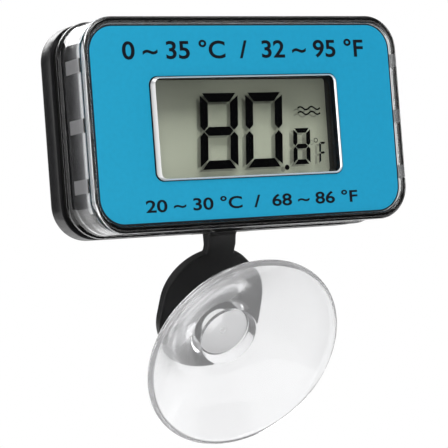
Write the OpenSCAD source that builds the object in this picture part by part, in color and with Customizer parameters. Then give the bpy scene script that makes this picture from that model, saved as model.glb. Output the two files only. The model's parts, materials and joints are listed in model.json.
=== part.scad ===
// Submersible digital aquarium thermometer on a tilting suction-cup bracket.
// Origin: centre of the suction cup's rim. +Z up, display faces -Y, +X to the reader's right.
// Case pieces are drawn in the case's own frame: y = 0 on the label, depth grows towards +Y,
// z = 0 at the label's middle. in_case() puts them in place.

/* [Case] */
// Width of the clear housing
housing_w = 64.6; // [62:0.2:68]
// Height of the clear housing
housing_h = 37.6; // [36:0.2:40]
// Outer corner radius of the clear housing
housing_r = 6.2; // [6:0.1:7]
// Depth from the label to the housing's back edge
housing_d = 9.7; // [9.6:0.1:10]
// Width of the raised clear rim round the label
rim_w = 1.4; // [1.2:0.1:1.8]
// Height of the rim and of the window above the label
rim_proud = 0.6; // [0.3:0.1:0.8]
// Wall thickness of the clear housing
housing_wall = 1.6; // [1.4:0.1:1.8]

/* [Rear cover] */
// How far the rear cover stands outside the housing all round
cover_proud = 0.3; // [0.1:0.1:0.5]
// Height of the seal between the housing and the rear cover
seal_h = 2.4; // [2.2:0.1:2.6]
// Depth of the rear cover behind the seal
cover_d = 4.8; // [4.7:0.1:5]
// Radius of the rear cover's rounded back edge
cover_edge_r = 1.2; // [0.6:0.1:1.4]

/* [Display] */
// Width of the raised window
window_w = 38.5; // [37:0.1:39]
// Height of the raised window
window_h = 18.3; // [18:0.1:18.8]
// Height of the window's middle above the label's middle
window_z = -0.9; // [-1.2:0.1:-0.6]
// Width of the display that shows inside the black frame
view_w = 36.8; // [35:0.1:36.8]
// Height of the display that shows inside the black frame
view_h = 17.6; // [16:0.1:17.8]
// Height of the display's middle above the label's middle
view_z = -0.7; // [-0.9:0.1:-0.5]

/* [Battery] */
// Diameter of one button cell
cell_d = 11.6; // [11.4:0.1:11.6]
// Thickness of one button cell
cell_h = 5.4; // [5.2:0.1:5.4]
// Height of the battery cover's middle above the label's middle
battery_z = 1.2; // [1:0.1:1.4]

/* [Bracket] */
// Tilt of the suction cup's axis below the level
cup_tilt = 31; // [30:1:34]
// Distance from the hinge pin to the bracket's middle, along the plate
arm_len = 16.8; // [16.6:0.2:18]
// Distance of the plate's middle plane in front of the hinge pin
plate_offset = 1.15; // [1:0.05:1.2]
// Thickness of the bracket plate
plate_t = 1.8; // [1.6:0.1:2]
// Width of the bracket plate
plate_w = 19.8; // [18:0.2:22]
// Height of the bracket plate
plate_h = 23.2; // [22:0.2:23.6]
// Height of the plate's middle above the cup's hole
plate_shift = 1.5; // [0:0.1:1.5]
// Width of the hinge tab
tab_w = 5.8; // [5.4:0.1:6.5]

/* [Suction cup] */
// Radius of the cup's rim
cup_r = 19.3; // [18:0.1:21]
// Distance from the rim to the bracket plate's middle plane
plate_to_rim = 15.8; // [15.4:0.1:16.6]
// Depth of the bowl inside the rim
bowl_h = 6.2; // [5.8:0.1:6.6]
// Radius of the round pit in the middle of the bowl
pit_r = 5.6; // [5.2:0.1:6]
// Depth of the pit below the bowl
pit_h = 2.5; // [2:0.1:3]

/* [Hidden] */

$fn = 64;
eps = 0.02;
slip = 0.05;           // running clearance between turning pieces
gap = 0.1;             // assembly clearance between pieces that do not move

label_t = 0.2;
front_t = 2.0;         // depth of the front wall's inner face
window_x = -0.4;
window_r = 1.6;
view_x = -0.2;
view_r = 0.8;
collar_wall = 2;
label_w = housing_w - 2 * rim_w;
label_h = housing_h - 2 * rim_w;
label_r = housing_r - rim_w;
cavity_w = housing_w - 2 * housing_wall;
cavity_h = housing_h - 2 * housing_wall;
cavity_r = housing_r - housing_wall;
flange_t = 1.2;        // proud band at the housing's back edge
rib_pitch = 10.35;     // three short ribs on each side wall
rib_h = 2.4;
rib_d = 6.0;
rib_proud = 0.3;

cover_w = housing_w + 2 * cover_proud;
cover_h = housing_h + 2 * cover_proud;
cover_r = housing_r + cover_proud;
cover_y = housing_d + seal_h;
back_y = cover_y + cover_d;
back_t = 1.6;
spigot_gap = 0.1;
spigot_wall = 1.2;
spigot_w = cavity_w - 2 * spigot_gap;
spigot_h = cavity_h - 2 * spigot_gap;
spigot_r = cavity_r - spigot_gap;
spigot_y = housing_d - 1.4;
inner_w = spigot_w - 2 * spigot_wall;
inner_h = spigot_h - 2 * spigot_wall;
inner_r = spigot_r - spigot_wall;
seal_inset = 0.7;

screw_x = housing_w / 2 - 4.7;
screw_z = housing_h / 2 - 4.7;
screw_post_r = 2.3;
screw_r = 0.95;
screw_head_r = 1.8;
screw_head_t = 1.2;
post_end = spigot_y - gap;

frame_y = front_t + gap;
collar_y = 4.1;        // the display rests behind the window collar
polariser_t = 0.2;
cell_glass_t = 2.0;
lcd_w = 42;
lcd_h = 22;
lcd_back = collar_y + polariser_t + cell_glass_t;
zebra_w = 1.6;
zebra_z = 10;
board_y = lcd_back + 1.9;
board_t = 1;
board_back = board_y + board_t;
board_w = inner_w - 1.8;
board_h = inner_h - 1.4;
board_screw_x = 24;
board_screw_z = 12;

cell_r = cell_d / 2;
cell_x = cell_r + 0.25;
cell_y = board_back + 0.7;
bridge_y = cell_y + cell_h;
bridge_t = 0.2;
skirt_in = cell_x + cell_r + 0.15;
skirt_out = skirt_in + 1.2;
skirt_y = back_y - 4.4;
well_r = skirt_out + gap;
lug_r = well_r + 0.9;
lug_y = back_y - 2.65;
lug_t = 0.9;
ledge_y = lug_y + lug_t + slip;
ledge_t = 0.6;
lid_r = lug_r + 0.4;
well_wall_r = lid_r + 0.9;
well_y = back_y - 5;
groove_d = 0.6;
groove_y = back_y - 4;
groove_h = 1.1;
lug_angle = 26;
unlock_turn = 45;      // turn from locked to the entry slots
coin_slot = [16, 1.8, 0.8];

side_x = 21.8;         // unit button on one side of the battery cover, sensor cap on the other
button_r = 3.4;
button_proud = 0.5;
button_flange_r = 4.2;
button_flange_t = 0.55;
switch_top = back_y - 4;
button_gap = 0.6;
button_groove_y = back_y - 1;
button_groove_h = 0.7;
sensor_r = 2.5;
sensor_proud = 0.3;
sensor_wall = 0.4;

pin_r = 0.8;
pin_len = 11.6;
barrel_r = 1.6;
hinge_y = cover_y + 2;
hinge_z = -(cover_h / 2 - 0.7);
notch_w = tab_w + 0.4;
notch_r = barrel_r + 0.1;
notch_roof = 1.4;      // wall between the notch and the dry inside
block_w = 14;
block_h = 2.4;

neck_r = 3;
head_r = 4.5;
land_w = 0.9;          // flat lip at the cup's rim
bowl_r = cup_r - land_w;

// Position of the bracket's middle and of the case, worked out from the cup's rim outwards
plate_y = plate_to_rim * cos(cup_tilt);
plate_z = plate_to_rim * sin(cup_tilt);
pin_y = plate_y - arm_len * sin(cup_tilt) + plate_offset * cos(cup_tilt);
pin_z = plate_z + arm_len * cos(cup_tilt) + plate_offset * sin(cup_tilt);
case_y = pin_y - hinge_y;
case_z = pin_z - hinge_z;

module in_case() translate([0, case_y, case_z]) children();

// Cup frame: local z = distance behind the rim, local y = up along the plate
module in_cup() rotate([-90 + cup_tilt, 0, 0]) mirror([0, 1, 0]) children();

// Local z becomes depth (+Y), local y becomes -Z
module facing(y) translate([0, y, 0]) rotate([-90, 0, 0]) children();

module rod(r, y0, y1, x = 0, z = 0) translate([x, 0, z]) facing(y0) cylinder(r = r, h = y1 - y0);

module block(w, h, y0, y1, x = 0, z = 0)
    translate([x - w / 2, y0, z - h / 2]) cube([w, y1 - y0, h]);

module round_rect(w, h, r) {
    square([w - 2 * r, h], center = true);
    square([w, h - 2 * r], center = true);
    for (x = [-1, 1], y = [-1, 1]) translate([x * (w / 2 - r), y * (h / 2 - r)]) circle(r);
}

module slab(w, h, r, y0, y1, x = 0, z = 0)
    translate([x, 0, z]) facing(y0) linear_extrude(y1 - y0) round_rect(w, h, r);

// Carries a wall profile round a rounded rectangle. Profile x counts outwards from the corner's
// centre, so the outside is at x = r, and profile y is the depth.
module rim_sweep(w, h, r) facing(0) {
    for (k = [0 : 3]) {
        corner = [k == 0 || k == 3 ? 1 : -1, k < 2 ? 1 : -1];
        translate([corner.x * (w / 2 - r), corner.y * (h / 2 - r)])
            rotate(90 * k) rotate_extrude(angle = 90) children();
    }
    for (side = [0, 180]) rotate(side) {
        translate([0, h / 2 - r]) rotate([90, 0, 90]) linear_extrude(w - 2 * r, center = true) children();
        translate([w / 2 - r, 0]) rotate([90, 0, 0]) linear_extrude(h - 2 * r, center = true) children();
    }
}

module at_corners(x, z) for (sx = [-1, 1], sz = [-1, 1]) translate([sx * x, 0, sz * z]) children();

// Quarter arc from a radial edge to a flat face, for rounded outer edges
function edge_arc(cx, cy, r, from, to) =
    [for (i = [0 : 6]) let (a = from + (to - from) * i / 6) [cx + r * cos(a), cy + r * sin(a)]];

module front_housing() color([0.80, 0.84, 0.86, 0.5]) in_case() {
    edge = 0.4;
    inside = housing_r - housing_wall;
    rim_sweep(housing_w, housing_h, housing_r) polygon(concat(
        [[inside, label_t], [housing_r - rim_w, label_t], [housing_r - rim_w, edge - rim_proud]],
        [[housing_r - rim_w + edge, -rim_proud]],
        edge_arc(housing_r - edge, edge - rim_proud, edge, -90, 0),
        [[housing_r, housing_d - flange_t - cover_proud], [cover_r, housing_d - flange_t]],
        [[cover_r, housing_d], [inside, housing_d]]));
    slab(cavity_w, cavity_h, cavity_r, label_t, front_t);
    slab(window_w, window_h, window_r, -rim_proud, label_t, window_x, window_z);
    for (side = [-1, 1], k = [-1 : 1])
        block(2 * rib_proud, rib_h, 0.4, 0.4 + rib_d, side * housing_w / 2, k * rib_pitch + 0.15);
    at_corners(screw_x, screw_z) difference() {
        rod(screw_post_r, front_t - eps, post_end);
        rod(screw_r + 0.02, 5, post_end + 1);
    }
}

module front_label() color([0.16, 0.63, 0.79]) in_case() difference() {
    slab(label_w - gap, label_h - gap, label_r - gap / 2, 0, label_t);
    slab(window_w + gap, window_h + gap, window_r, -1, 1, window_x, window_z);
}

module display_frame() color([0.06, 0.06, 0.07]) in_case() {
    wall = 1;
    plate_back = frame_y + wall;
    difference() {
        union() {
            rim_sweep(spigot_w, spigot_h, spigot_r)
                translate([spigot_r - wall, frame_y]) square([wall, board_y - gap - frame_y]);
            slab(spigot_w - wall, spigot_h - wall, spigot_r - wall / 2, frame_y, plate_back);
            slab(view_w + 2 * collar_wall, view_h + 2 * collar_wall, view_r + collar_wall,
                 frame_y, collar_y, view_x, view_z);
            at_corners(board_screw_x, board_screw_z) rod(1.8, plate_back - eps, board_y);
        }
        slab(view_w, view_h, view_r, 0, board_y, view_x, view_z);
        at_corners(screw_x, screw_z) rod(screw_post_r + 0.3, 0, board_y + 1);
        at_corners(board_screw_x, board_screw_z) rod(0.62, 5, board_y + 1);
    }
}

module lcd_polariser() color([0.60, 0.61, 0.55]) in_case()
    slab(lcd_w - 2, lcd_h - 2, 0.4, collar_y, collar_y + polariser_t, view_x, view_z);

module lcd_cell() color([0.62, 0.64, 0.58]) in_case()
    slab(lcd_w, lcd_h, 0.4, collar_y + polariser_t, lcd_back, view_x, view_z);

module lcd_reflector() color([0.66, 0.67, 0.60]) in_case()
    slab(lcd_w - 2, 2 * zebra_z - zebra_w - 0.6, 0.4, lcd_back, lcd_back + 0.2, view_x, view_z);

module zebra_strips() color([0.75, 0.35, 0.45]) in_case() for (side = [-1, 1])
    block(lcd_w - 4, zebra_w, lcd_back, board_y, view_x, view_z + side * zebra_z);

module circuit_board() color([0.10, 0.38, 0.20]) in_case() difference() {
    slab(board_w, board_h, inner_r, board_y, board_back);
    at_corners(screw_x, screw_z) rod(screw_post_r + 0.3, 0, board_back + 1);
    at_corners(board_screw_x, board_screw_z) rod(0.75, 0, board_back + 1);
}

module chip_blob() color([0.05, 0.05, 0.05]) in_case() {
    blob_r = 4.5;
    blob_t = 1.5;
    dome_r = (blob_r * blob_r + blob_t * blob_t) / (2 * blob_t);
    half_angle = asin(blob_r / dome_r);
    translate([view_x, 0, view_z]) facing(board_y) rotate_extrude() polygon(concat(
        [[0, 0]], edge_arc(0, dome_r - blob_t, dome_r, half_angle - 90, -90)));
}

module timing_crystal() color([0.78, 0.78, 0.76]) in_case() {
    can_r = 1;
    translate([15.5, board_back + can_r, 11.5]) rotate([0, 90, 0]) cylinder(r = can_r, h = 6);
}

module board_chips() color([0.20, 0.16, 0.12]) in_case()
    for (k = [0 : 4]) block(2, 1.2, board_back, board_back + 0.6, 16 + 2.8 * (k % 3), -8 - 2.4 * floor(k / 3));

module tact_switch() color([0.25, 0.25, 0.27]) in_case() translate([-side_x, 0, battery_z]) {
    block(5, 5, board_back, switch_top - 1.2);
    rod(1.1, switch_top - 1.2 - eps, switch_top);
}

module board_screws() color([0.72, 0.72, 0.70]) in_case() at_corners(board_screw_x, board_screw_z) {
    rod(0.6, 5.5, board_back + eps);
    difference() {
        rod(1.4, board_back, board_back + 0.8);
        block(1.8, 0.35, board_back + 0.4, board_back + 1);
        block(0.35, 1.8, board_back + 0.4, board_back + 1);
    }
}

module thermistor() color([0.10, 0.10, 0.10]) in_case() translate([side_x, 0, battery_z]) {
    bead_y = back_y - 1.3;
    translate([0, bead_y, 0]) sphere(0.9);
    for (side = [-1, 1]) rod(0.2, board_back, bead_y, 0, side * 0.5);
}

module sensor_cap() color([0.80, 0.80, 0.78]) in_case() translate([side_x, 0, battery_z]) {
    end_y = back_y + sensor_proud;
    difference() {
        union() {
            rod(sensor_r, back_y - 3.1, end_y);
            rod(sensor_r + 0.8, back_y - back_t - 0.5, back_y - back_t);
        }
        rod(sensor_r - sensor_wall, board_back, end_y - sensor_wall);
    }
}

module case_seal() color([0.03, 0.03, 0.03]) in_case()
    rim_sweep(cover_w - 2 * seal_inset, cover_h - 2 * seal_inset, cover_r - seal_inset) {
        inside = cover_r - (cover_w - spigot_w) / 2 + slip;
        translate([inside, housing_d]) square([cover_r - seal_inset - inside, seal_h]);
    }

module rear_cover() color([0.09, 0.09, 0.10]) in_case() difference() {
    inside = cover_r - (cover_w - inner_w) / 2;
    spigot = cover_r - (cover_w - spigot_w) / 2;
    union() {
        rim_sweep(cover_w, cover_h, cover_r) polygon(concat(
            [[inside, spigot_y], [spigot, spigot_y], [spigot, cover_y], [cover_r, cover_y]],
            edge_arc(cover_r - cover_edge_r, back_y - cover_edge_r, cover_edge_r, 0, 90),
            [[inside, back_y]]));
        slab(inner_w, inner_h, inner_r, back_y - back_t, back_y);
        rod(well_wall_r, well_y, back_y, 0, battery_z);
        at_corners(screw_x, screw_z) rod(screw_post_r, spigot_y, back_y);
        block(block_w, block_h, cover_y + eps, back_y - eps, 0, hinge_z + notch_r + notch_roof - block_h / 2);
    }
    rod(well_r, 0, back_y + 1, 0, battery_z);
    rod(lug_r + slip, lug_y - slip, ledge_y, 0, battery_z);
    rod(lid_r + gap, ledge_y + ledge_t, back_y + 1, 0, battery_z);
    battery_lugs(lug_r + 2 * slip, lug_angle + 2, lug_y, back_y + 1, unlock_turn);
    at_corners(screw_x, screw_z) {
        rod(screw_r + 0.2, 0, back_y + 1);
        rod(screw_head_r + 0.1, back_y - screw_head_t - 0.3, back_y + 1);
    }
    rod(sensor_r + eps, cover_y, back_y + 1, side_x, battery_z);
    rod(button_r + slip, cover_y, back_y + 1, -side_x, battery_z);
    hinge_notch();
}

// The notch that the bracket's tab swings in, and the open-bottomed seats that the pin snaps into
module hinge_notch() {
    depth = cover_h;
    seat_w = pin_len + 0.4;
    translate([-notch_w / 2, hinge_y - notch_r, hinge_z - depth]) cube([notch_w, depth, depth + notch_r]);
    translate([-seat_w / 2, hinge_y, hinge_z]) rotate([0, 90, 0]) cylinder(r = pin_r + eps, h = seat_w);
    translate([-seat_w / 2, hinge_y - 0.6, hinge_z - depth]) cube([seat_w, 1.2, depth]);
}

// Three bayonet lugs, turned by twist from the locked position
module battery_lugs(r, angle, y0, y1, twist) translate([0, 0, battery_z]) facing(y0)
    for (k = [0 : 2]) rotate(120 * k - angle / 2 + twist) rotate_extrude(angle = angle)
        translate([skirt_out - 0.3, 0]) square([r - skirt_out + 0.3, y1 - y0]);

module cover_screws() color([0.75, 0.75, 0.73]) in_case() at_corners(screw_x, screw_z) {
    head_y = back_y - screw_head_t - 0.3;
    rod(screw_r, 5.5, head_y + eps);
    difference() {
        rod(screw_head_r, head_y, head_y + screw_head_t);
        block(2.2, 0.45, head_y + 0.5, back_y);
        block(0.45, 2.2, head_y + 0.5, back_y);
    }
}

module battery_holder() color([0.12, 0.12, 0.13]) in_case() difference() {
    rod(skirt_in + 0.7, board_back, skirt_y - 0.3, 0, battery_z);
    for (side = [-1, 1]) rod(cell_r + gap, 0, skirt_y, side * cell_x, battery_z);
}

// A bent leaf that presses on the cell above it
module contact_leaf(width) facing(0) rotate([90, 0, 90]) linear_extrude(width, center = true)
    polygon([[-4, board_back], [3.4, board_back], [3.4, board_back + 0.2], [-1, board_back + 0.2],
             [2.2, cell_y - 0.2], [2.6, cell_y], [1.4, cell_y], [-2.2, board_back + 0.2],
             [-4, board_back + 0.2]]);

module battery_contact_positive() color([0.78, 0.70, 0.45]) in_case()
    translate([-cell_x, 0, battery_z]) contact_leaf(5);

module battery_contact_negative() color([0.78, 0.78, 0.75]) in_case()
    translate([cell_x, 0, battery_z]) for (side = [-1, 1]) translate([side * 1.6, 0, 0]) contact_leaf(2);

module battery_cells() color([0.80, 0.80, 0.82]) in_case() {
    cap_r = 4.6;
    cap_h = 0.7;
    for (side = [-1, 1]) {
        can_y = side < 0 ? cell_y : cell_y + cap_h;
        rod(cell_r, can_y, can_y + cell_h - cap_h, side * cell_x, battery_z);
        rod(cap_r, cell_y, bridge_y, side * cell_x, battery_z);
    }
}

module battery_bridge() color([0.78, 0.76, 0.68]) in_case()
    rod(skirt_in - 0.5, bridge_y, bridge_y + bridge_t, 0, battery_z);

module battery_cover() color([0.10, 0.10, 0.11]) in_case() difference() {
    union() {
        rod(skirt_out, skirt_y, back_y - eps, 0, battery_z);
        rod(lid_r, ledge_y + ledge_t + slip, back_y, 0, battery_z);
        battery_lugs(lug_r, lug_angle, lug_y, lug_y + lug_t, 0);
    }
    rod(skirt_in, 0, bridge_y + bridge_t, 0, battery_z);
    difference() {
        rod(skirt_out + 1, groove_y, groove_y + groove_h, 0, battery_z);
        rod(skirt_out - groove_d, 0, back_y, 0, battery_z);
    }
    block(coin_slot.x, coin_slot.y, back_y - coin_slot.z, back_y + 1, 0, battery_z);
}

module battery_seal() color([0.55, 0.10, 0.08]) in_case() difference() {
    rod(well_r - eps, groove_y + slip, groove_y + groove_h - slip, 0, battery_z);
    rod(skirt_out - groove_d + eps, 0, back_y, 0, battery_z);
}

module unit_button() color([0.30, 0.31, 0.32]) in_case() translate([-side_x, 0, battery_z]) {
    crown = 0.4;
    flange_y = back_y - back_t - eps;
    difference() {
        facing(0) rotate_extrude() polygon(concat(
            [[0, flange_y], [button_r, flange_y]],
            edge_arc(button_r - crown, back_y + button_proud - crown, crown, 0, 90),
            [[0, back_y + button_proud]]));
        difference() {
            rod(button_r + 1, button_groove_y, button_groove_y + button_groove_h);
            rod(button_r - 0.4, 0, back_y);
        }
    }
    rod(button_flange_r, flange_y - button_flange_t, flange_y);
    rod(1.2, switch_top + button_gap, flange_y - button_flange_t + eps);
}

module button_seal() color([0.04, 0.04, 0.04]) in_case() translate([-side_x, 0, battery_z]) difference() {
    rod(button_r + slip - eps, button_groove_y + slip, button_groove_y + button_groove_h - slip);
    rod(button_r - 0.4 + eps, 0, back_y);
}

module hinge_pin() color([0.70, 0.70, 0.68]) in_case()
    translate([-pin_len / 2, hinge_y, hinge_z]) rotate([0, 90, 0]) cylinder(r = pin_r, h = pin_len);

// The bracket's side view, with x behind the rim and y up the plate from its middle
module tab_profile() {
    half = plate_t / 2;
    pin = [plate_to_rim + plate_offset, arm_len];
    start = plate_shift + plate_h / 2 - 2;
    polygon([
        [plate_to_rim - half, start], [plate_to_rim - half, arm_len - 2.2],
        pin + barrel_r * [-cos(20), -sin(20)], pin, pin + barrel_r * [sin(30), -cos(30)],
        [plate_to_rim + half, arm_len - 3], [plate_to_rim + half, start]
    ]);
    translate(pin) circle(barrel_r);
}

module bracket() color([0.08, 0.08, 0.09]) in_cup() difference() {
    union() {
        lobe = (plate_h - plate_w) / 2;
        translate([0, plate_shift, plate_to_rim - plate_t / 2]) linear_extrude(plate_t) {
            for (side = [-1, 1]) translate([0, side * lobe]) circle(d = plate_w);
            square([plate_w, 2 * lobe], center = true);
        }
        rotate([0, -90, 0]) linear_extrude(tab_w, center = true) tab_profile();
    }
    translate([0, 0, plate_to_rim - plate_t]) cylinder(r = neck_r + slip, h = 2 * plate_t);
    translate([-tab_w, arm_len, plate_to_rim + plate_offset])
        rotate([0, 90, 0]) cylinder(r = pin_r + slip, h = 2 * tab_w);
}

// Depth of the bowl's inner face behind the rim, at radius r
function bowl_depth(r) = bowl_h * (1 - pow((r - pit_r) / (bowl_r - pit_r), 1.7));
// Wall thickness, thin at the lip and heavy at the hub
function bowl_wall(r) = 0.7 + 3.6 * pow((bowl_r - r) / (bowl_r - pit_r), 2);

module suction_cup() color([0.88, 0.90, 0.92, 0.5]) in_cup() {
    steps = 12;
    hub_end = plate_to_rim - plate_t / 2 - slip;
    head_y = plate_to_rim + plate_t / 2 + slip;
    hub_r = 5;
    radii = [for (i = [0 : steps]) bowl_r + (pit_r - bowl_r) * i / steps];
    rotate_extrude($fn = 96) polygon(concat(
        [[cup_r, 0]],
        [for (r = radii) [r, bowl_depth(r)]],
        [[pit_r - 0.4, bowl_h + pit_h], [0, bowl_h + pit_h]],
        [[0, head_y + 4]],
        edge_arc(head_r - 1.8, head_y + 2.2, 1.8, 90, 0),
        [[head_r, head_y], [neck_r, head_y], [neck_r, hub_end], [hub_r, hub_end]],
        [for (i = [0 : steps]) let (r = radii[steps - i])
            [r + 0.9, max(bowl_depth(r) + bowl_wall(r), 0.5)]]));
}

front_housing();
front_label();
display_frame();
lcd_polariser();
lcd_cell();
lcd_reflector();
zebra_strips();
circuit_board();
chip_blob();
timing_crystal();
board_chips();
tact_switch();
board_screws();
thermistor();
sensor_cap();
case_seal();
rear_cover();
cover_screws();
battery_holder();
battery_contact_positive();
battery_contact_negative();
battery_cells();
battery_cover();
battery_bridge();
battery_seal();
unit_button();
button_seal();
hinge_pin();
bracket();
suction_cup();
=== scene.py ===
"""The looks of a submersible digital aquarium thermometer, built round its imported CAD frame.

Lengths are in millimetres and become metres where a mesh is made. The case has its own frame, as in the
CAD: x to the reader's right, y the depth behind the label, z up from the label's middle.
"""

import json
import math

import bmesh
import bpy
from mathutils import Matrix, Vector


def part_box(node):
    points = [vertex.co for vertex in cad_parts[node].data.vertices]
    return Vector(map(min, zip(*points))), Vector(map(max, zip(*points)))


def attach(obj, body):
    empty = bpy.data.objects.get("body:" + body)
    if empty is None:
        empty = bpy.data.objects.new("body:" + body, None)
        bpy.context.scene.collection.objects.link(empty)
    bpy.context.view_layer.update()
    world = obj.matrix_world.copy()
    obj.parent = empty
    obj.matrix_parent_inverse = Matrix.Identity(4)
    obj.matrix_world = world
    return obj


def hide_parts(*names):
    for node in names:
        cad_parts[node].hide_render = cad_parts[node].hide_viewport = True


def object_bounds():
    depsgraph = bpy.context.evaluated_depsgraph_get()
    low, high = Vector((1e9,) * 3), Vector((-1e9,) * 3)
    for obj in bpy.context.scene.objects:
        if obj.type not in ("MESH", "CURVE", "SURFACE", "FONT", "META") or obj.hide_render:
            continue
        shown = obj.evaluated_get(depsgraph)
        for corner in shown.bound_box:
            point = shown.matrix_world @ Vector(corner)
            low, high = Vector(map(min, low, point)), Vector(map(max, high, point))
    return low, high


MM = 0.001
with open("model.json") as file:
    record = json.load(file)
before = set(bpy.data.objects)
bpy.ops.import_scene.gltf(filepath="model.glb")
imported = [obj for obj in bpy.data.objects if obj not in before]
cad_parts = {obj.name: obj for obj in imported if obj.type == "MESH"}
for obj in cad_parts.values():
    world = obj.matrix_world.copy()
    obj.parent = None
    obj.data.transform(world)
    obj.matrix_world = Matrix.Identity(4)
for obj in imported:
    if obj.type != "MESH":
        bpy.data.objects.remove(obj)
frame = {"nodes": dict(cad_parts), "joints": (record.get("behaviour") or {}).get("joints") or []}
nodes = frame["nodes"]
cad_bounds = [list(corner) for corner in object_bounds()]


# ---------------------------------------------------------------- places taken from the frame

def span(node):
    """A node's lowest and highest corners in millimetres."""
    low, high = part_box(node)
    return low / MM, high / MM


def joint(name):
    return next(j for j in frame["joints"] if j["name"] == name)


label_low, label_high = span("front_label")
CASE = Vector((0, label_low.y, (label_low.z + label_high.z) / 2))
housing_low, housing_high = span("front_housing")

COVER_PROUD = 0.3      # how far the rear cover stands outside the housing
HOUSING_W = housing_high.x - housing_low.x - 2 * COVER_PROUD
HOUSING_H = housing_high.z - housing_low.z - 2 * COVER_PROUD
HOUSING_D = housing_high.y - CASE.y
RIM_PROUD = CASE.y - housing_low.y
HOUSING_R = 6.2        # corner radius
RIM_W = 1.4
WALL = 1.6
LABEL_T = 0.2
FRONT_T = 2.0          # thickness of the front wall behind the label
WINDOW_W = 38.4
WINDOW_H = 18.2
WINDOW_R = 1.6
WINDOW_X = -0.4
WINDOW_Z = -0.9
WINDOW_EDGE_SHARE = 0.4     # how much narrower the window's edge is above and below than at the sides
LCD_FACE = span("lcd_cell")[0].y - CASE.y
REFLECTOR_FACE = span("lcd_reflector")[0].y - CASE.y
RIB_PITCH = 10.35
RIB_OFFSET = 0.15
RIB_H = 2.4
RIB_PROUD = 0.26
RIB_END = 6.4
PAINTED_EDGE_SHADE = 0.22        # painted shade: a dark line along the label's edge
FROST_START = FRONT_T + 1.2     # depth at which the wall's inside turns from polished to frosted
SKIN = 0.02            # air left between clear pieces and what they rest on, so that no two faces coincide

CUP_R = 19.3
BOWL_H = 6.2
PIT_H = 2.5
PIT_R = 5.6
CUP_FLOOR = BOWL_H + PIT_H      # height of the pit's floor above the rim
PLATE_TO_RIM = 15.8
PLATE_T = 1.8

cup_axis = -Vector(joint("cup_turn")["axis"]).normalized()
CUP = Matrix((Vector((1, 0, 0)), Vector((1, 0, 0)).cross(-cup_axis), cup_axis)).transposed().to_4x4()


def srgb(r, g, b):
    """A linear colour from 0-255 screen values."""
    def linear(c):
        c /= 255
        return c / 12.92 if c <= 0.04045 else ((c + 0.055) / 1.055) ** 2.4
    return (linear(r), linear(g), linear(b), 1)


def shade(colour, factor):
    return tuple(min(1, c * factor) for c in colour[:3]) + (1,)


# ---------------------------------------------------------------- materials

def start(name, **values):
    """A new Principled material with plain values on its sockets."""
    mat = bpy.data.materials.new(name)
    mat.use_nodes = True
    bsdf = mat.node_tree.nodes["Principled BSDF"]
    for socket, value in values.items():
        bsdf.inputs[socket.replace("_", " ")].default_value = value
    return mat, mat.node_tree, bsdf


def add(tree, kind, **inputs):
    """A node whose inputs, named with _ for a space, are values or sockets to link."""
    node = tree.nodes.new("ShaderNode" + kind)
    for name, value in inputs.items():
        socket = node.inputs[name.replace("_", " ")]
        if isinstance(value, bpy.types.NodeSocket):
            tree.links.new(value, socket)
        else:
            socket.default_value = value
    return node


def place(tree):
    """Object coordinates in millimetres."""
    coord = add(tree, "TexCoord")
    scale = add(tree, "VectorMath", Vector=coord.outputs["Object"])
    scale.operation = "SCALE"
    scale.inputs["Scale"].default_value = 1 / MM
    return scale.outputs["Vector"]


def noise(tree, per_mm, detail=3.0, rough=0.5, stretch=None):
    """Cloudy values near 0.5, with this many clouds to a millimetre."""
    where = place(tree)
    if stretch:
        squeeze = add(tree, "VectorMath", Vector=where)
        squeeze.operation = "MULTIPLY"
        squeeze.inputs[1].default_value = stretch
        where = squeeze.outputs["Vector"]
    return add(tree, "TexNoise", Vector=where, Scale=per_mm, Detail=detail, Roughness=rough).outputs["Fac"]


def ramp(tree, factor, stops):
    """A colour that follows (position, colour) stops."""
    node = add(tree, "ValToRGB", Fac=factor)
    elements = node.color_ramp.elements
    while len(elements) < len(stops):
        elements.new(0.5)
    for element, (position, colour) in zip(elements, stops):
        element.position = position
        element.color = colour
    return node.outputs["Color"]


def remap(tree, value, low, high, start_at=0.3, end_at=0.7):
    """Turns a value between start_at and end_at into one between low and high."""
    node = add(tree, "MapRange", Value=value)
    node.inputs["From Min"].default_value = start_at
    node.inputs["From Max"].default_value = end_at
    node.inputs["To Min"].default_value = low
    node.inputs["To Max"].default_value = high
    return node.outputs["Result"]


def bumped(tree, bsdf, height, depth_mm, strength=1.0):
    """Gives the shader a bump of this depth."""
    node = add(tree, "Bump", Height=height, Strength=strength, Distance=depth_mm * MM)
    tree.links.new(node.outputs["Normal"], bsdf.inputs["Normal"])


def surface(name, colour, roughness, grain=2.0, spread=0.12, texture=6.0, depth=0.01, stretch=None, **values):
    """A solid finish: cloudy colour, uneven gloss and a fine surface texture."""
    mat, tree, bsdf = start(name, **values)
    clouds = noise(tree, grain, stretch=stretch)
    stops = [(0.3, shade(colour, 1 - spread)), (0.7, shade(colour, 1 + spread))]
    tree.links.new(ramp(tree, clouds, stops), bsdf.inputs["Base Color"])
    gloss = remap(tree, noise(tree, grain * 1.7, stretch=stretch), roughness * 0.85, roughness * 1.15)
    tree.links.new(gloss, bsdf.inputs["Roughness"])
    bumped(tree, bsdf, noise(tree, texture, stretch=stretch), depth)
    return mat


def let_lamps_through(mat):
    """Lamps reach what is behind the clear material."""
    tree = mat.node_tree
    path = add(tree, "LightPath")
    open_air = add(tree, "BsdfTransparent", Color=(1, 1, 1, 1))
    mix = add(tree, "MixShader", Fac=path.outputs["Is Shadow Ray"])
    tree.links.new(tree.nodes["Principled BSDF"].outputs["BSDF"], mix.inputs[1])
    tree.links.new(open_air.outputs["BSDF"], mix.inputs[2])
    tree.links.new(mix.outputs["Shader"], tree.nodes["Material Output"].inputs["Surface"])
    return mat


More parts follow.
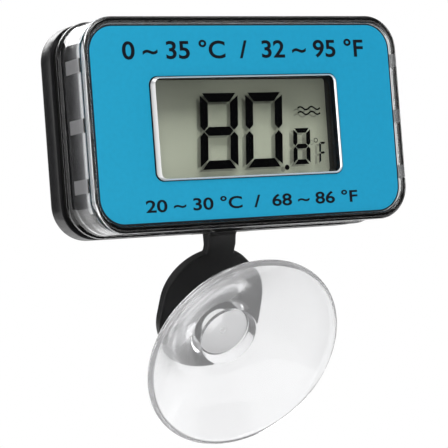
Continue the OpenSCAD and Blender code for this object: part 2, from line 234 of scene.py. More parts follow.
def clear(name, colour, ior, rough_low, rough_high, wave_per_mm, wave_depth, **values):
    """A clear moulding with faint flow marks and slightly uneven polish."""
    values = {"Transmission_Weight": 1.0, **values}
    mat, tree, bsdf = start(name, Base_Color=colour, IOR=ior, **values)
    gloss = remap(tree, noise(tree, wave_per_mm * 3), rough_low, rough_high)
    tree.links.new(gloss, bsdf.inputs["Roughness"])
    bumped(tree, bsdf, noise(tree, wave_per_mm, detail=1.5), wave_depth)
    return let_lamps_through(mat)


def sums(tree, operation, a, b=None):
    """A Math node on sockets or numbers."""
    node = add(tree, "Math")
    node.operation = operation
    for socket, value in zip(node.inputs, (a, b)):
        if isinstance(value, bpy.types.NodeSocket):
            tree.links.new(value, socket)
        elif value is not None:
            socket.default_value = value
    return node.outputs["Value"]


def blended(tree, factor, first, second):
    """A colour between two, each a socket or a value.

    The Mix node keeps its colours at inputs 6 and 7 and output 2.
    """
    node = add(tree, "Mix")
    node.data_type = "RGBA"
    for index, value in ((0, factor), (6, first), (7, second)):
        if isinstance(value, bpy.types.NodeSocket):
            tree.links.new(value, node.inputs[index])
        else:
            node.inputs[index].default_value = value
    return node.outputs[2]


def edge_distance(tree, where, w, h, r, cx, cz):
    """Millimetres outside a rounded rectangle on the case's face. Inside it is negative."""
    split = add(tree, "SeparateXYZ", Vector=where)
    over = []
    for axis, half, middle in (("X", w / 2, cx), ("Z", h / 2, CASE.z + cz)):
        size = sums(tree, "ABSOLUTE", sums(tree, "SUBTRACT", split.outputs[axis], middle))
        over.append(sums(tree, "SUBTRACT", size, half - r))
    beyond = [sums(tree, "POWER", sums(tree, "MAXIMUM", d, 0), 2) for d in over]
    corner = sums(tree, "SQRT", sums(tree, "ADD", *beyond))
    inside = sums(tree, "MINIMUM", sums(tree, "MAXIMUM", *over), 0)
    return sums(tree, "SUBTRACT", sums(tree, "ADD", corner, inside), r)


def label_paint():
    """Screen-printed film: an even blue, a touch deeper to the right, with a faint dot grain and a painted
    shade line along its edge.
    """
    mat, tree, bsdf = start("label_paint", Specular_IOR_Level=0.3)
    where = place(tree)
    x = add(tree, "SeparateXYZ", Vector=where).outputs["X"]
    across = remap(tree, x, 0, 1, -label_high.x, label_high.x)
    base = ramp(tree, across, [(0, srgb(26, 162, 203)), (1, srgb(17, 157, 200))])
    grain = ramp(tree, noise(tree, 1.2), [(0.3, (0.95,) * 3 + (1,)), (0.7, (1, 1, 1, 1))])
    mix = add(tree, "VectorMath")
    mix.operation = "MULTIPLY"
    tree.links.new(base, mix.inputs[0])
    tree.links.new(grain, mix.inputs[1])
    label_w, label_h = label_high.x - label_low.x, label_high.z - label_low.z
    # Painted shade: a dark line just inside the label's edge, where the clear rim meets it.
    outline = edge_distance(tree, where, label_w, label_h, HOUSING_R - RIM_W, 0, 0)
    line = remap(tree, outline, 0, 1, -PAINTED_EDGE_SHADE - 0.06, -PAINTED_EDGE_SHADE)
    tree.links.new(blended(tree, line, mix.outputs["Vector"], srgb(14, 22, 30)), bsdf.inputs["Base Color"])
    tree.links.new(remap(tree, noise(tree, 5), 0.42, 0.55), bsdf.inputs["Roughness"])
    bumped(tree, bsdf, noise(tree, 9), 0.004)
    return mat


def frame_with_painted_light():
    """The inner frame: black, with painted light on its outer wall: a painted highlight near the front that
    fades to black towards the back.
    """
    mat, tree, bsdf = start("frame_with_painted_light", Specular_IOR_Level=0.3)
    split = add(tree, "SeparateXYZ", Vector=place(tree))
    along = remap(tree, split.outputs["Y"], 0, 1, CASE.y + FRONT_T, CASE.y + HOUSING_D)
    # Painted light: bright near the front rim, fading to black towards the back of the wall.
    stops = [(0.0, srgb(232, 232, 234)), (0.2, srgb(160, 160, 162)), (0.42, srgb(78, 78, 80)),
             (0.7, srgb(16, 16, 18))]
    skirt = edge_distance(tree, place(tree), HOUSING_W, HOUSING_H, HOUSING_R, 0, 0)
    outer = remap(tree, skirt, 0, 1, -WALL - 0.8, -WALL - 0.6)
    colour = blended(tree, outer, srgb(12, 12, 13), ramp(tree, along, stops))
    tree.links.new(colour, bsdf.inputs["Base Color"])
    tree.links.new(remap(tree, noise(tree, 3), 0.3, 0.45), bsdf.inputs["Roughness"])
    bumped(tree, bsdf, noise(tree, 7), 0.01)
    return mat


def window_edge_painted_light():
    """The window's moulded edge, with painted light: a painted highlight at the front and painted shade at
    its foot.
    """
    mat, tree, bsdf = start("window_edge_painted_light", Metallic=0.35)
    depth = add(tree, "SeparateXYZ", Vector=place(tree)).outputs["Y"]
    down = remap(tree, depth, 0, 1, CASE.y - RIM_PROUD, CASE.y + LABEL_T)
    # Painted highlight at the front, painted shade at the foot.
    stops = [(0.0, srgb(245, 245, 245)), (0.4, srgb(205, 205, 206)), (0.55, srgb(24, 24, 25)),
             (1.0, srgb(8, 8, 9))]
    tree.links.new(ramp(tree, down, stops), bsdf.inputs["Base Color"])
    tree.links.new(remap(tree, noise(tree, 4), 0.16, 0.24), bsdf.inputs["Roughness"])
    bumped(tree, bsdf, noise(tree, 3), 0.002)
    return mat


def striped(name, colour, other, per_mm, roughness, axis="X"):
    """Fine bands of two colours across an axis."""
    mat, tree, bsdf = start(name, Roughness=roughness)
    wave = add(tree, "TexWave", Vector=place(tree), Scale=per_mm, Distortion=0.4, Detail=1.0)
    wave.bands_direction = axis
    stripes = ramp(tree, wave.outputs["Fac"], [(0.45, colour), (0.55, other)])
    tree.links.new(stripes, bsdf.inputs["Base Color"])
    bumped(tree, bsdf, wave.outputs["Fac"], 0.02)
    return mat


def laminate():
    """Green solder mask over paler copper tracks."""
    mat, tree, bsdf = start("board_laminate", Roughness=0.35)
    cells = add(tree, "TexVoronoi", Vector=place(tree), Scale=0.35)
    cells.distance = "MANHATTAN"
    green, track = srgb(14, 74, 40), srgb(34, 112, 58)
    tracks = ramp(tree, cells.outputs["Distance"], [(0.42, green), (0.5, track)])
    tree.links.new(tracks, bsdf.inputs["Base Color"])
    bumped(tree, bsdf, cells.outputs["Distance"], 0.02)
    return mat


HOUSING = clear("housing_plastic", (0.97, 0.98, 0.98, 1), 1.49, 0.005, 0.02, 0.12, 0.0015)
WALL_FROST = clear("wall_frost", (0.42, 0.42, 0.43, 1), 1.49, 0.16, 0.24, 0.12, 0.0005)
RIB_FROST = clear("rib_frost", (0.36, 0.36, 0.37, 1), 1.49, 0.3, 0.42, 0.3, 0.004, Transmission_Weight=0.55)
WINDOW_EDGE = window_edge_painted_light()
CUP_PVC = clear("cup_pvc", (0.92, 0.922, 0.93, 1), 1.26, 0.05, 0.12, 0.15, 0.02, Transmission_Weight=0.86,
                Coat_Weight=0.6, Coat_Roughness=0.12, Coat_IOR=1.45)
CUP_CORE = clear("cup_core", (0.86, 0.86, 0.87, 1), 1.3, 0.1, 0.2, 0.3, 0.01, Transmission_Weight=0.3,
                 Coat_Weight=0.4, Coat_Roughness=0.12)
LCD_GLASS = clear("lcd_glass", (0.98, 0.99, 0.98, 1), 1.5, 0.005, 0.015, 0.2, 0.0005)
POLARISER = clear("polariser_film", (0.97, 0.97, 0.96, 1), 1.02, 0.0, 0.01, 0.4, 0.0005)
LABEL = label_paint()
FRAME_WITH_PAINTED_LIGHT = frame_with_painted_light()
BLACK = surface("case_black", srgb(17, 17, 19), 0.34, grain=1.2, spread=0.2, texture=9, depth=0.012)
BRACKET_BLACK = surface("bracket_black", srgb(12, 12, 13), 0.42, grain=0.9, spread=0.18, texture=8,
                        depth=0.012, Specular_IOR_Level=0.35)
LID_BLACK = surface("lid_black", srgb(20, 20, 22), 0.42, grain=1.5, spread=0.2, texture=6, depth=0.02)
SEAL_BLACK = surface("seal_rubber", srgb(8, 8, 8), 0.7, grain=3, spread=0.25, texture=10, depth=0.01,
                     Specular_IOR_Level=0.15)
RED_SEAL = surface("red_silicone", srgb(150, 38, 30), 0.5, grain=3, spread=0.15)
RUBBER = surface("button_rubber", srgb(72, 74, 76), 0.62, grain=2.5, spread=0.15, texture=12, depth=0.02)
INK = surface("print_ink", srgb(5, 10, 22), 0.5, grain=3, spread=0.2, texture=12, depth=0.002,
              Specular_IOR_Level=0.2)
SEGMENT = surface("segment_black", srgb(2, 2, 3), 0.55, grain=2, spread=0.2, texture=12, depth=0.001,
                  Specular_IOR_Level=0.0)
SHADOW = surface("segment_shadow", srgb(176, 180, 163), 0.6, grain=2, spread=0.03, texture=12, depth=0.001)
# The reflector glows a little: painted light that makes the display brighter and more even.
REFLECTOR = surface("reflector_foil_painted_glow", srgb(206, 210, 190), 0.55, grain=1.5, spread=0.03, texture=14,
                    depth=0.003, Emission_Color=srgb(150, 154, 140), Emission_Strength=0.22)
EPOXY = surface("black_epoxy", srgb(16, 16, 17), 0.25, grain=1.5, spread=0.3)
CERAMIC = surface("chip_ceramic", srgb(70, 52, 38), 0.5, grain=4, spread=0.3)
SWITCH = surface("switch_body", srgb(48, 48, 50), 0.4, grain=2, spread=0.15)
STEEL = surface("plated_steel", srgb(196, 196, 192), 0.28, grain=1.5, spread=0.08, texture=5, depth=0.01,
                stretch=(1, 1, 6), Metallic=1.0)
STAINLESS = surface("stainless", srgb(168, 167, 163), 0.3, grain=1.5, spread=0.06, texture=6, depth=0.008,
                    stretch=(8, 1, 1), Metallic=1.0)
GILT = surface("gilt_contact", srgb(206, 178, 110), 0.3, grain=2, spread=0.1, Metallic=1.0)
ZEBRA = striped("zebra_rubber", srgb(186, 108, 126), srgb(24, 22, 22), 5.0, 0.6)
LAMINATE = laminate()

NODE_FINISH = {
    "front_label": LABEL, "display_frame": FRAME_WITH_PAINTED_LIGHT, "lcd_reflector": REFLECTOR, "zebra_strips": ZEBRA,
    "circuit_board": LAMINATE, "chip_blob": EPOXY,
    "timing_crystal": STEEL, "board_chips": CERAMIC, "tact_switch": SWITCH, "board_screws": STEEL,
    "thermistor": EPOXY, "sensor_cap": STAINLESS, "case_seal": SEAL_BLACK, "cover_screws": STAINLESS,
    "battery_holder": SWITCH, "battery_contact_positive": GILT, "battery_contact_negative": STEEL,
    "battery_cells": STAINLESS, "battery_bridge": STEEL, "battery_seal": RED_SEAL, "button_seal": SEAL_BLACK,
    "hinge_pin": STAINLESS,
}


# ---------------------------------------------------------------- meshes

def finish_mesh(name, verts, faces, mat, body, slot, sharp=35, placing=None):
    """A piece from points in millimetres, riding on a body and taking the finish given. The slot argument is
    not used.
    """
    mesh = bpy.data.meshes.new(name)
    mesh.from_pydata([tuple(v) for v in verts], [], faces)
    bm = bmesh.new()
    bm.from_mesh(mesh)
    bmesh.ops.remove_doubles(bm, verts=bm.verts, dist=1e-5)
    bmesh.ops.recalc_face_normals(bm, faces=bm.faces)
    bm.to_mesh(mesh)
    bm.free()
    mesh.transform(Matrix.Scale(MM, 4) @ (placing or Matrix.Translation(CASE)))
    mesh.update()
    return dress(name, mesh, mat, body, sharp)


def dress(name, mesh, mat, body, sharp=35):
    """Makes a piece from a mesh that is already in place."""
    mesh.materials.clear()
    mesh.materials.append(mat)
    mesh.shade_smooth()
    mesh.set_sharp_from_angle(angle=math.radians(sharp))
    obj = bpy.data.objects.new(name, mesh)
    bpy.context.scene.collection.objects.link(obj)
    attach(obj, body)
    return obj


def bevel(obj, width, segments=2, angle=32):
    """Rounds the edges that are sharper than the angle."""
    mod = obj.modifiers.new("edges", "BEVEL")
    mod.width = width * MM
    mod.segments = segments
    mod.limit_method = "ANGLE"
    mod.angle_limit = math.radians(angle)
    mod.use_clamp_overlap = False
    mod.miter_outer = "MITER_ARC"
    mod.harden_normals = True
    return obj


def softened(name, node, mat, body, width, segments=2):
    """A CAD part's shape with its hard edges rounded."""
    mesh = nodes[node].data.copy()
    bm = bmesh.new()
    bm.from_mesh(mesh)
    bmesh.ops.remove_doubles(bm, verts=bm.verts, dist=1e-6)
    bmesh.ops.dissolve_limit(bm, angle_limit=math.radians(1), verts=bm.verts, edges=bm.edges)
    bm.to_mesh(mesh)
    bm.free()
    obj = dress(name, mesh, mat, body)
    bevel(obj, width, segments)
    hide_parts(node)
    return obj


def arc(cx, cy, r, start_deg, end_deg, steps):
    """Points on an arc, both ends included."""
    angles = [math.radians(start_deg + (end_deg - start_deg) * i / steps) for i in range(steps + 1)]
    return [(cx + r * math.cos(a), cy + r * math.sin(a)) for a in angles]


CORNER_STEPS = 14


def rib_fractions(straight):
    """Places along a side wall where a rib starts or ends, as shares of its straight length."""
    edges = []
    for k in (-1, 0, 1):
        middle = k * RIB_PITCH + RIB_OFFSET
        edges += [middle - RIB_H / 2, middle + RIB_H / 2]
    return [0.5 + z / straight for z in edges]


SIDE_SHARES = rib_fractions(HOUSING_H - 2 * HOUSING_R)


def side_points(x, low, high, y, proud):
    """A side's inner points, from low to high, with the rib stretches standing proud."""
    points = []
    outward = math.copysign(proud, x)
    for i, share in enumerate(SIDE_SHARES):
        z = low + (high - low) * share
        inside, outside = (x, y, z), (x + outward, y, z)
        points += [inside, outside] if i % 2 == 0 else [outside, inside]
    return points


def ring(w, h, r, y, cx=0, cz=0, proud=0.0):
    """One loop round a rounded rectangle, always with the same number of points."""
    corners = [(1, 1, 0), (-1, 1, 90), (-1, -1, 180), (1, -1, 270)]
    points = []
    for i, (sx, sz, turn) in enumerate(corners):
        middle = (sx * (w / 2 - r), sz * (h / 2 - r))
        points += [(x, y, z) for x, z in arc(*middle, r, turn, turn + 90, CORNER_STEPS)]
        if i == 1:
            points += side_points(-w / 2, -(h / 2 - r), h / 2 - r, y, proud)[::-1]
        if i == 3:
            points += side_points(w / 2, -(h / 2 - r), h / 2 - r, y, proud)
    return [(x + cx, y, z + cz) for x, y, z in points]


def loft(rings, close_start=True, close_end=True):
    """A skin over loops that have the same number of points."""
    verts = [p for one in rings for p in one]
    count = len(rings[0])
    faces = []
    for k in range(len(rings) - 1):
        a, b = k * count, (k + 1) * count
        faces += [(a + i, a + (i + 1) % count, b + (i + 1) % count, b + i) for i in range(count)]
    if close_start:
        faces.append(tuple(range(count))[::-1])
    if close_end:
        faces.append(tuple(range(len(verts) - count, len(verts))))
    return verts, faces


def spin(profile, segments=128):
    """A solid of revolution from (radius, height) points that start and end on the axis."""
    verts, faces, rings = [], [], []
    for r, h in profile:
        if r < 1e-6:
            rings.append([len(verts)])
            verts.append((0, 0, h))
            continue
        rings.append(range(len(verts), len(verts) + segments))
        turns = [2 * math.pi * i / segments for i in range(segments)]
        verts += [(r * math.cos(t), r * math.sin(t), h) for t in turns]
    for a, b in zip(rings, rings[1:]):
        for i in range(segments):
            j = (i + 1) % segments
            face = [a[i % len(a)], a[j % len(a)], b[j % len(b)], b[i % len(b)]]
            faces.append(tuple(dict.fromkeys(face)))
    return verts, [f for f in faces if len(f) > 2]


def rounded(points, steps=6):
    """A path through (x, y, corner radius) points with each corner turned into an arc-like bend."""
    path = []
    for i, (x, y, r) in enumerate(points):
        if r == 0 or i in (0, len(points) - 1):
            path.append((x, y))
            continue
        here = Vector((x, y))
        before = Vector(points[i - 1][:2]) - here
        after = Vector(points[i + 1][:2]) - here
        reach = r / math.tan(before.angle(after) / 2)
        a = here + before.normalized() * min(reach, before.length / 2)
        b = here + after.normalized() * min(reach, after.length / 2)
        for k in range(steps + 1):
            t = k / steps
            path.append(tuple(a * (1 - t) ** 2 + here * 2 * t * (1 - t) + b * t ** 2))
    return path


def plate(outline, y0, y1):
    """A thin solid from an (x, z) outline between two depths."""
    n = len(outline)
    verts = [(x, y0, z) for x, z in outline] + [(x, y1, z) for x, z in outline]
    faces = [tuple(range(n)), tuple(range(2 * n - 1, n - 1, -1))]
    faces += [(i, (i + 1) % n, n + (i + 1) % n, n + i) for i in range(n)]
    return verts, faces


def gather(solids):
    """Several solids as one list of points and faces."""
    verts, faces = [], []
    for v, f in solids:
        base = len(verts)
        verts += v
        faces += [tuple(base + i for i in face) for face in f]
    return verts, faces


# ---------------------------------------------------------------- clear housing

def housing_ring(inset, y, proud=0.0):
    """A loop this far inside the housing's outline. A negative inset stands outside it."""
    return ring(HOUSING_W - 2 * inset, HOUSING_H - 2 * inset, HOUSING_R - inset, y, proud=proud)


def window_ring(inset, y):
    """A loop on the window's edge, which is broad at the sides and narrow above and below."""
    height = WINDOW_H - 2 * inset * WINDOW_EDGE_SHARE
    return ring(WINDOW_W - 2 * inset, height, WINDOW_R - 0.6 * inset, y, WINDOW_X, WINDOW_Z)


HOUSING_FINISHES = [HOUSING, WALL_FROST, RIB_FROST, WINDOW_EDGE, SEAL_BLACK]


def housing_finish(at):
    """The finish that a face of the housing takes, from where its middle is.

    The end that is pressed into the black seal looks black. The wall is frosted inside, behind the front.
    """
    side_gap = HOUSING_W / 2 - abs(at.x)
    inside = min(side_gap, HOUSING_H / 2 - abs(at.z))
    if at.y > HOUSING_D - 0.1:
        return SEAL_BLACK
    if inside > WALL - 0.1 and at.y > FROST_START:
        return WALL_FROST
    if side_gap < 0.1 - RIB_PROUD / 2 and 0.6 < at.y < RIB_END:
        return RIB_FROST
    # The window's edge takes the painted highlight and painted shade.
    if inside > 2 * RIM_W and -RIM_PROUD + 0.01 < at.y < LABEL_T:
        return WINDOW_EDGE
    return HOUSING


def clear_housing():
    """Raised window, label recess, round rim bead, side wall with ribs and the flange at the back."""
    bead = RIM_W / 2
    pad_profile = [(0.95, -RIM_PROUD, 0), (0.86, -RIM_PROUD, 0.25), (0.06, -0.2, 0.2), (0, LABEL_T, 0)]
    pad = [window_ring(inset, y) for inset, y in rounded(pad_profile, 4)]
    rim = [housing_ring(RIM_W - 0.02, LABEL_T + SKIN), housing_ring(RIM_W - 0.02, 0.05)]
    rim += [housing_ring(bead + bead * c, -RIM_PROUD + bead - bead * s)
            for c, s in arc(0, 0, 1, 10, 180, 12)]
    wall = [housing_ring(0.0, 0.35), housing_ring(0.14, 0.5), housing_ring(0.12, 0.62)]
    wall += [housing_ring(0.12, 0.7, RIB_PROUD), housing_ring(0.08, RIB_END - 0.3, RIB_PROUD * 0.8)]
    wall.append(housing_ring(0.08, RIB_END))
    flange = HOUSING_D - 1.2
    wall += [housing_ring(0.05, flange - 0.45), housing_ring(0.0, flange - 0.2),
             housing_ring(-COVER_PROUD + 0.05, flange + 0.1), housing_ring(-COVER_PROUD, flange + 0.3),
             housing_ring(-COVER_PROUD, HOUSING_D - 0.25),
             housing_ring(-COVER_PROUD + 0.08, HOUSING_D - 0.06),
             housing_ring(-COVER_PROUD + 0.3, HOUSING_D - SKIN)]
    inside = [housing_ring(WALL, HOUSING_D - SKIN), housing_ring(WALL, FROST_START),
              housing_ring(WALL, FRONT_T + 0.4), housing_ring(WALL + 0.12, FRONT_T + 0.12),
              housing_ring(WALL + 0.4, FRONT_T)]
    verts, faces = loft(pad + [window_ring(0, LABEL_T + SKIN)] + rim + wall + inside)
    obj = finish_mesh("clear_housing", verts, faces, HOUSING, "case", "clear_housing", sharp=40)
    for mat in HOUSING_FINISHES[1:]:
        obj.data.materials.append(mat)
    for face in obj.data.polygons:
        face.material_index = HOUSING_FINISHES.index(housing_finish(face.center / MM - CASE))
    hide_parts("front_housing")
    return obj


clear_housing()


# ---------------------------------------------------------------- liquid-crystal display

def pane(name, node, mat, slot, edge):
    """A clear sheet with eased edges, a hair thinner than its CAD solid."""
    low, high = (corner - CASE for corner in span(node))
    w, h = high.x - low.x, high.z - low.z
    cx, cz = (high.x + low.x) / 2, (high.z + low.z) / 2

    def loop(inset, y):
        return ring(w - 2 * inset, h - 2 * inset, 0.4 - inset / 2, y, cx, cz)
    front, back = low.y + SKIN, high.y - 2 * SKIN
    rings = [loop(edge, front), loop(0, front + edge), loop(0, back - edge), loop(edge, back)]
    obj = finish_mesh(name, *loft(rings), mat, "case", slot)
    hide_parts(node)


pane("polariser_sheet", "lcd_polariser", POLARISER, "polariser_film", 0.03)
pane("display_glass", "lcd_cell", LCD_GLASS, "display_glass", 0.12)


def inset_outline(points, by):
    """A convex outline moved inwards, so that neighbours keep a light gap."""
    n = len(points)
    pairs = zip(points, points[1:] + points[:1])
    area = sum(a[0] * b[1] - b[0] * a[1] for a, b in pairs)
    if area < 0:
        points = points[::-1]
    lines = []
    for i in range(n):
        a, b = Vector(points[i]), Vector(points[(i + 1) % n])
        along = (b - a).normalized()
        lines.append((a + Vector((-along.y, along.x)) * by, along))
    result = []
    for i in range(n):
        (p, d), (q, e) = lines[i - 1], lines[i]
        t = ((q - p).x * e.y - (q - p).y * e.x) / (d.x * e.y - d.y * e.x)
        result.append(tuple(p + d * t))
    return result


def segment_outlines(names, w, h, t, gap, chamfer):
    """The outlines of a seven-segment numeral's named segments, from its lower left corner."""
    m = h / 2
    top = [(chamfer, h), (w - chamfer, h), (w - t, h - t), (t, h - t)]
    upper_left = [(0, h - chamfer), (t, h - t), (t, m + t / 2), (t / 2, m), (0, m + t / 2)]
    bar = [(t / 2, m), (t, m + t / 2), (w - t, m + t / 2), (w - t / 2, m), (w - t, m - t / 2), (t, m - t / 2)]

    def flip_x(points):
        return [(w - x, z) for x, z in points]

    def flip_z(points):
        return [(x, h - z) for x, z in points]
    shapes = {"a": top, "d": flip_z(top), "f": upper_left, "e": flip_z(upper_left), "b": flip_x(upper_left),
              "c": flip_z(flip_x(upper_left)), "g": bar}
    return [inset_outline(shapes[s], gap / 2) for s in names]


def numeral(names, x, z, w, h, t, gap, slant, chamfer):
    """A numeral's outlines, leaning by slant over its height."""
    return [[(x + px + slant * pz / h, z + pz) for px, pz in one]
            for one in segment_outlines(names, w, h, t, gap, chamfer)]


def ribbon(points, width):
    """A band of even width along a path of points."""
    left, right = [], []
    for i, p in enumerate(points):
        along = (Vector(points[min(i + 1, len(points) - 1)]) - Vector(points[max(i - 1, 0)])).normalized()
        side = Vector((-along.y, along.x)) * width / 2
        left.append(tuple(Vector(p) + side))
        right.append(tuple(Vector(p) - side))
    return left + right[::-1]


def annulus(x, z, r, width, y0, y1, steps=32):
    quads = []
    for a, b in zip(arc(0, 0, 1, 0, 360, steps), arc(0, 0, 1, 0, 360, steps)[1:]):
        outline = [(x + a[0] * r, z + a[1] * r), (x + b[0] * r, z + b[1] * r),
                   (x + b[0] * (r - width), z + b[1] * (r - width)),
                   (x + a[0] * (r - width), z + a[1] * (r - width))]
        quads.append(plate(outline, y0, y1))
    return gather(quads)


def display_marks(y0, y1, dx=0.0, dz=0.0):
    """Everything that the display shows, between two depths."""
    big = dict(z=-8.2, w=8.0, h=13.9, t=1.8, gap=0.2, slant=0.9, chamfer=0.35)
    small = dict(z=-7.9, w=3.8, h=6.8, t=1.0, gap=0.12, slant=0.4, chamfer=0.2)
    unit = dict(z=-7.9, w=1.6, h=4.1, t=0.5, gap=0.08, slant=0.3, chamfer=0.1)
    eight, zero, capital_f = "abcdefg", "abcdef", "aefg"
    outlines = numeral(eight, -9.1, **big) + numeral(zero, 0.3, **big)
    outlines += numeral(eight, 10.5, **small) + numeral(capital_f, 16.1, **unit)
    decimal_point = arc(9.1, -8.3, 0.5, 0, 345, 23)
    outlines.append(decimal_point)
    for row in (1.6, 2.5):
        wave = [(12.2 + 4.9 * i / 24, row + 0.28 * math.sin(2 * math.pi * i / 12)) for i in range(25)]
        outlines.append(ribbon(wave, 0.3))
    solids = [plate([(x + dx, z + dz) for x, z in one], y0, y1) for one in outlines]
    degree_ring = annulus(15.7 + dx, -3.5 + dz, 0.45, 0.15, y0, y1)
    return gather(solids + [degree_ring])


MARK_T = 0.012
SEGMENT_Y = LCD_FACE + 3 * SKIN
SHADOW_Y = REFLECTOR_FACE - 0.004
finish_mesh("lcd_segments", *display_marks(SEGMENT_Y, SEGMENT_Y + MARK_T), SEGMENT, "case", "black_epoxy")
finish_mesh("lcd_segment_shadows", *display_marks(SHADOW_Y - MARK_T, SHADOW_Y, -0.15, -0.25), SHADOW, "case",
            "reflector_film")


# ---------------------------------------------------------------- label print

def printed(name, text, height, x0, x1, z0):
    """Ink figures on the label, as a thin layer that fills a line's width."""
    curve = bpy.data.curves.new(name, "FONT")
    curve.body = text
    curve.align_x = "LEFT"
    curve.extrude = 0.01
    curve.offset = 0.018
    curve.resolution_u = 6
    holder = bpy.data.objects.new(name, curve)
    bpy.context.scene.collection.objects.link(holder)
    bpy.context.view_layer.update()
    mesh = bpy.data.meshes.new_from_object(holder.evaluated_get(bpy.context.evaluated_depsgraph_get()))
    bpy.data.objects.remove(holder)
    xs = [v.co.x for v in mesh.vertices]
    ys = [v.co.y for v in mesh.vertices]
    for v in mesh.vertices:
        x = x0 + (v.co.x - min(xs)) / (max(xs) - min(xs)) * (x1 - x0)
        z = z0 + (v.co.y - min(ys)) / (max(ys) - min(ys)) * height
        v.co = (x, -0.012 - v.co.z, z)
    mesh.transform(Matrix.Scale(MM, 4) @ Matrix.Translation(CASE))
    return dress(name, mesh, INK, "case")


printed("measuring_range_print", "0 ~ 35 °C  /  32 ~ 95 °F", 3.4, -24.4, 25.2, 11.2)
printed("water_range_print", "20 ~ 30 °C  /  68 ~ 86 °F", 2.3, -22.0, 21.5, -15.4)


# ---------------------------------------------------------------- suction cup

def cup_profile():
    """The cup's section as (radius, height above the rim), from the pit's floor round to the head's top."""
    land, slip, steps = 0.9, 0.05, 30
    bowl_r = CUP_R - land
    radii = [bowl_r + (PIT_R - bowl_r) * i / steps for i in range(steps + 1)]

    def depth(r):
        return BOWL_H * (1 - ((r - PIT_R) / (bowl_r - PIT_R)) ** 1.7)

    def back(r):
        return max(depth(r) + 0.7 + 3.6 * ((bowl_r - r) / (bowl_r - PIT_R)) ** 2, 0.5)
    hub_end = PLATE_TO_RIM - PLATE_T / 2 - slip
    head_y = PLATE_TO_RIM + PLATE_T / 2 + slip
    hub_r, neck_r, head_r = 5.0, 3.0, 4.5
    gate_mark = [(0, CUP_FLOOR - 0.05, 0), (0.35, CUP_FLOOR, 0), (0.55, CUP_FLOOR - 0.14, 0.05),
                 (0.75, CUP_FLOOR, 0.05)]
    inner = gate_mark + [(PIT_R - 0.4, CUP_FLOOR, 0.7)]
    inner += [(r, depth(r), 0.5 if i == 0 else 0) for i, r in enumerate(radii[::-1])]
    lip = [(CUP_R - 0.12, 0.02, 0), (CUP_R, 0.14, 0), (CUP_R, 0.3, 0)]
    outer = [(r + 0.9, back(r), 0) for r in radii[1:]]
    hub = [(hub_r, hub_end, 0.4), (neck_r, hub_end, 0.2), (neck_r, head_y, 0.2), (head_r, head_y, 0.3),
           (head_r, head_y + 2.2, 1.2), (head_r - 1.8, head_y + 4, 1.0), (0, head_y + 4, 0)]
    return rounded(inner + lip + outer + hub)


def suction_cup():
    """The clear cup. Its pit's floor is backed by the solid neck, so it looks milky."""
    obj = finish_mesh("clear_cup", *spin(cup_profile()), CUP_PVC, "cup", "clear_pvc", sharp=50, placing=CUP)
    obj.data.materials.append(CUP_CORE)
    to_cup = CUP.to_3x3().inverted()
    floor_band, floor_r = 0.3, 5
    for face in obj.data.polygons:
        at = to_cup @ (face.center / MM)
        if CUP_FLOOR - floor_band < at.z < CUP_FLOOR + 0.2 and at.xy.length < floor_r:
            face.material_index = 1
    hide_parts("suction_cup")
    return obj


suction_cup()


# ---------------------------------------------------------------- black mouldings

softened("rear_shell", "rear_cover", BLACK, "case", 0.14)
softened("bracket_arm", "bracket", BRACKET_BLACK, "bracket", 0.22, 3)
softened("battery_lid", "battery_cover", LID_BLACK, "battery_lid", 0.12)
softened("button_cap", "unit_button", RUBBER, "button", 0.1)

for node_name, finish_material in NODE_FINISH.items():
    node_mesh = nodes[node_name].data
    node_mesh.materials.clear()
    node_mesh.materials.append(finish_material)


# ---------------------------------------------------------------- stage, lights and camera

VIEW_YAW = math.radians(29.36)


def card(name, half, drop, mat):
    """A level square below the object, in metres, that isn't part of it."""
    z = cad_bounds[0][2] - drop
    mesh = bpy.data.meshes.new(name)
    corners = [(-half, -half), (half, -half), (half, half), (-half, half)]
    mesh.from_pydata([(x, y, z) for x, y in corners], [], [(0, 1, 2, 3)])
    mesh.materials.append(mat)
    obj = bpy.data.objects.new(name, mesh)
    bpy.context.scene.collection.objects.link(obj)
    return obj


def stage_floor():
    """The pale floor, which glows a little so that it stays even."""
    paper = surface("floor_paper", (0.9, 0.9, 0.9, 1), 0.9, grain=0.01, spread=0.01, texture=0.1,
                    Emission_Color=(1, 1, 1, 1), Emission_Strength=0.45)
    card("floor", 1.2, 0.16, paper)


def lamp(name, azimuth, elevation, distance, size, watts, colour=(1, 1, 1)):
    """A soft panel that faces the middle of the object. Azimuths are those of the views."""
    a, e = math.radians(azimuth), math.radians(elevation)
    away = Vector((math.sin(a) * math.cos(e), -math.cos(a) * math.cos(e), math.sin(e)))
    middle = (Vector(cad_bounds[0]) + Vector(cad_bounds[1])) / 2
    data = bpy.data.lights.new(name, "AREA")
    data.shape = "RECTANGLE"
    data.size, data.size_y = size
    data.energy = watts
    data.color = colour
    obj = bpy.data.objects.new(name, data)
    obj.location = middle + away * distance
    obj.rotation_mode = "QUATERNION"
    obj.rotation_quaternion = (-away).to_track_quat("-Z", "Y")
    bpy.context.scene.collection.objects.link(obj)


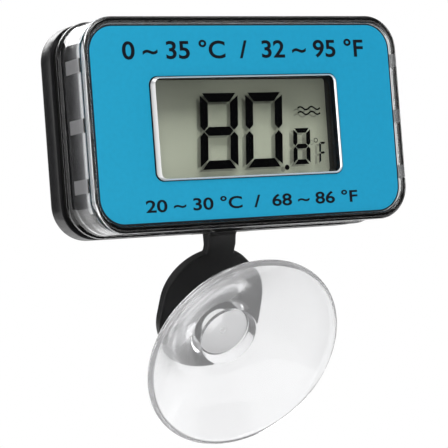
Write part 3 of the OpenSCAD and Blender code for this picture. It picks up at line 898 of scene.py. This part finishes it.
def studio_world():
    """White for the camera. What reflects sees a room with four soft windows and a ceiling light.

    The dark stretches between the windows lie where the case's flat faces mirror them to the camera.
    """
    world = bpy.data.worlds.new("studio")
    world.use_nodes = True
    bpy.context.scene.world = world
    tree = world.node_tree
    split = add(tree, "SeparateXYZ", Vector=add(tree, "TexCoord").outputs["Generated"])
    yaw = sums(tree, "ARCTAN2", split.outputs["X"], split.outputs["Y"])
    turns = sums(tree, "MULTIPLY", sums(tree, "ADD", yaw, VIEW_YAW), 4)
    window = remap(tree, sums(tree, "COSINE", turns), 1, 0, -0.5, 0.3)
    height = split.outputs["Z"]
    below = remap(tree, height, 1, 0, 0.22, 0.32)
    ceiling = remap(tree, height, 0, 0.5, 0.55, 0.85)
    lit = sums(tree, "MAXIMUM", sums(tree, "MULTIPLY", window, below), ceiling)
    room = tree.nodes["Background"]
    dark, bright = (0.02, 0.02, 0.022, 1), (1.0, 1.0, 1.0, 1)
    tree.links.new(ramp(tree, lit, [(0, dark), (1, bright)]), room.inputs["Color"])
    backdrop = add(tree, "Background", Color=(1, 1, 1, 1), Strength=1.0)
    path = add(tree, "LightPath")
    mix = add(tree, "MixShader", Fac=path.outputs["Is Camera Ray"])
    tree.links.new(room.outputs["Background"], mix.inputs[1])
    tree.links.new(backdrop.outputs["Background"], mix.inputs[2])
    tree.links.new(mix.outputs["Shader"], tree.nodes["World Output"].inputs["Surface"])


def dark_flag():
    """A dark card below the object that only reflections and refractions see."""
    cloth = surface("flag_cloth", (0.02, 0.02, 0.02, 1), 0.9, grain=0.01, texture=0.1)
    flag = card("dark_flag", 0.16, 0.12, cloth)
    flag.visible_camera = False
    flag.visible_diffuse = False
    flag.visible_shadow = False


def make_camera():
    """Looks from the reader's left, level with the case, with a slight roll."""
    yaw, pitch, roll = VIEW_YAW, math.radians(1.63), math.radians(-4.33)
    offset = Vector((-177.52, -303.33, -27.94))
    focal_pixels, frame_pixels, sensor = 1978, 448, 36
    forward = Vector((math.sin(yaw) * math.cos(pitch), math.cos(yaw) * math.cos(pitch), math.sin(pitch)))
    flat_right = Vector((math.cos(yaw), -math.sin(yaw), 0))
    flat_up = flat_right.cross(forward)
    right = math.cos(roll) * flat_right + math.sin(roll) * flat_up
    up = -math.sin(roll) * flat_right + math.cos(roll) * flat_up
    data = bpy.data.cameras.new("camera")
    data.sensor_width = sensor
    data.lens = focal_pixels / frame_pixels * sensor
    data.clip_start = 0.01
    obj = bpy.data.objects.new("camera", data)
    turn = Matrix((right, up, -forward)).transposed().to_4x4()
    obj.matrix_world = Matrix.Translation((CASE + offset) * MM) @ turn
    bpy.context.scene.collection.objects.link(obj)
    bpy.context.scene.camera = obj


stage_floor()
studio_world()
dark_flag()
lamp("key_panel", -5, 48, 0.9, (0.6, 0.4), 3.2)
lamp("edge_panel", -62, 6, 0.8, (0.16, 0.6), 1.2)
lamp("left_panel", -118, 10, 0.8, (0.2, 0.7), 0.8)
lamp("right_panel", 85, 15, 0.8, (0.25, 0.6), 1.6)
lamp("back_panel", 182, 32, 0.8, (0.5, 0.25), 2)
make_camera()

bpy.context.scene.view_settings.view_transform = "Standard"
